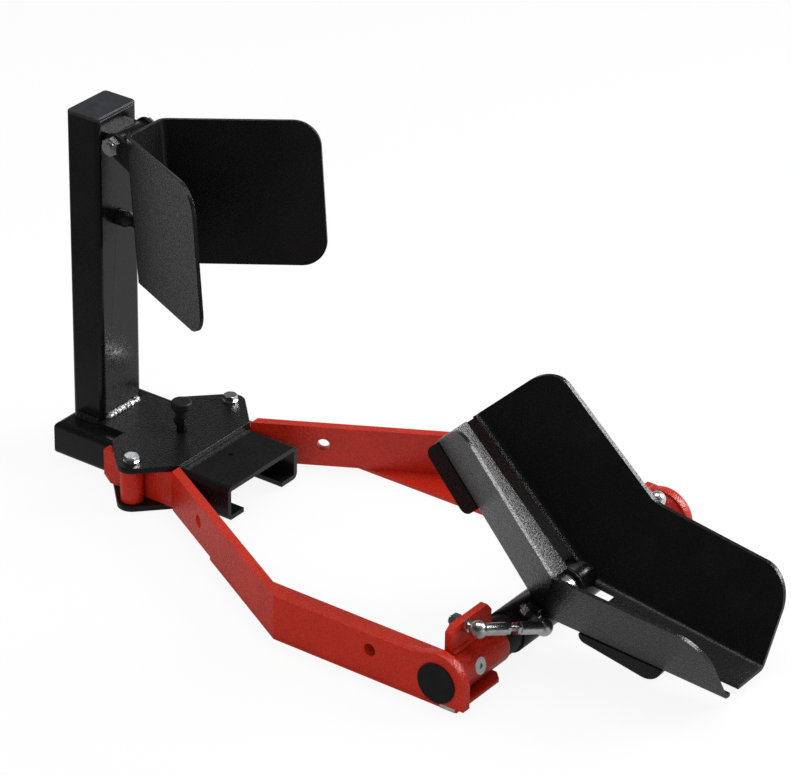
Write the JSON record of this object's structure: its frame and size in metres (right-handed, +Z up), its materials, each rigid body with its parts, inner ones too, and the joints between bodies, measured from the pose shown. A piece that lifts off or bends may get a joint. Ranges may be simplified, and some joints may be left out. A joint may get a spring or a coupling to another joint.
{
  "type": "motorcycle wheel chock",
  "caption": "Floor-standing front-wheel chock: a mast with a hinged V plate on a slide-on rail base, and two arms that carry a tilting, self-closing cradle.",
  "frame": {"origin": "bottom centre of the whole object, on the floor", "axes": "+X from the mast towards the cradle's mouth, +Y to the far side, +Z up"},
  "size_m": [0.7832, 0.39, 0.379],
  "materials": {
    "black_powder": "black textured powder coat, semi-gloss",
    "red_powder": "red textured powder coat, semi-gloss",
    "cap_plastic": "smooth dark grey plastic",
    "black_plastic": "fine black plastic",
    "pad_plastic": "light grey nylon",
    "rubber": "black rubber",
    "zinc": "bright zinc plate",
    "bright_steel": "ground bright steel"
  },
  "bodies": {
    "base": {"rail_top": "black_powder", "rail_sides": "black_powder", "top_plate": "black_powder", "lower_lobes": "black_powder", "mast_tube": "black_powder", "mast_cap": "cap_plastic", "mast_weld": "black_powder", "mast_bracket": "black_powder", "stop_buffer": "rubber", "buffer_stud": "zinc", "plunger_body": "black_powder", "arm_bolts": "zinc", "arm_washers": "zinc", "barrel_screws": "zinc", "glide_pads": "pad_plastic", "lug_nuts": "zinc", "near_arm_bar": "red_powder", "near_arm_doubler": "red_powder", "near_arm_boss": "red_powder", "near_arm_foot": "red_powder", "near_barrel": "red_powder", "near_end_cap": "black_plastic", "near_barrel_lug": "red_powder", "near_lug_stud": "zinc", "far_arm_bar": "red_powder", "far_arm_doubler": "red_powder", "far_arm_boss": "red_powder", "far_arm_foot": "red_powder", "far_barrel": "red_powder", "far_end_cap": "black_plastic", "far_barrel_lug": "red_powder", "far_lug_stud": "zinc"},
    "head": {"head_plate": "black_powder", "head_lugs": "black_powder", "head_bolt": "zinc", "head_nut": "zinc"},
    "plunger": {"plunger_pin": "bright_steel", "plunger_knob": "black_plastic", "plunger_spring": "bright_steel"},
    "rocker": {"cross_shaft": "bright_steel"},
    "near_half": {"near_shell": "black_powder", "near_sleeve": "black_powder", "near_bush": "black_plastic", "near_lever": "black_powder", "near_runners": "black_powder", "near_lever_stud": "zinc", "near_lever_nut": "zinc"},
    "near_link": {"near_link_sockets": "zinc", "near_link_rod": "zinc", "near_link_locknuts": "zinc"},
    "far_half": {"far_shell": "black_powder", "far_sleeve": "black_powder", "far_bush": "black_plastic", "far_lever": "black_powder", "far_runners": "black_powder", "far_lever_stud": "zinc", "far_lever_nut": "zinc"},
    "far_link": {"far_link_sockets": "zinc", "far_link_rod": "zinc", "far_link_locknuts": "zinc"}
  },
  "joints": [
    {"name": "head_tilt", "type": "hinge", "parent": "base", "child": "head", "pos_m": [-0.33181, 0, 0.355], "axis": [0, -1, 0], "range_deg": [0, 60]},
    {"name": "plunger_pull", "type": "slide", "parent": "base", "child": "plunger", "axis": [0, 0, 1], "range_m": [0, 0.01], "stiffness_N_per_m": 400, "springref_m": -0.01, "deforming": ["plunger_spring"]},
    {"name": "cradle_tilt", "type": "hinge", "parent": "base", "child": "rocker", "pos_m": [0.17999, 0, 0.0246], "axis": [0, -1, 0], "range_deg": [0, 52]},
    {"name": "near_close", "type": "slide", "parent": "rocker", "child": "near_half", "axis": [0, 1, 0], "range_m": [0, 0.007]},
    {"name": "near_link", "type": "hinge", "parent": "base", "child": "near_link", "pos_m": [0.19489, -0.1494, 0.0661], "axis": [0.1726, -0.8704, 0.461], "range_deg": [0, 56.32]},
    {"name": "far_close", "type": "slide", "parent": "rocker", "child": "far_half", "axis": [0, -1, 0], "range_m": [0, 0.007]},
    {"name": "far_link", "type": "hinge", "parent": "base", "child": "far_link", "pos_m": [0.19489, 0.1494, 0.0661], "axis": [-0.1726, -0.8704, -0.461], "range_deg": [0, 56.32]}
  ],
  "couplings": [
    {"joint": "near_close", "follows": "cradle_tilt", "m_per_rad": 0.0077128},
    {"joint": "near_link", "follows": "cradle_tilt", "ratio": 1.083},
    {"joint": "far_close", "follows": "cradle_tilt", "m_per_rad": 0.0077128},
    {"joint": "far_link", "follows": "cradle_tilt", "ratio": 1.083}
  ]
}
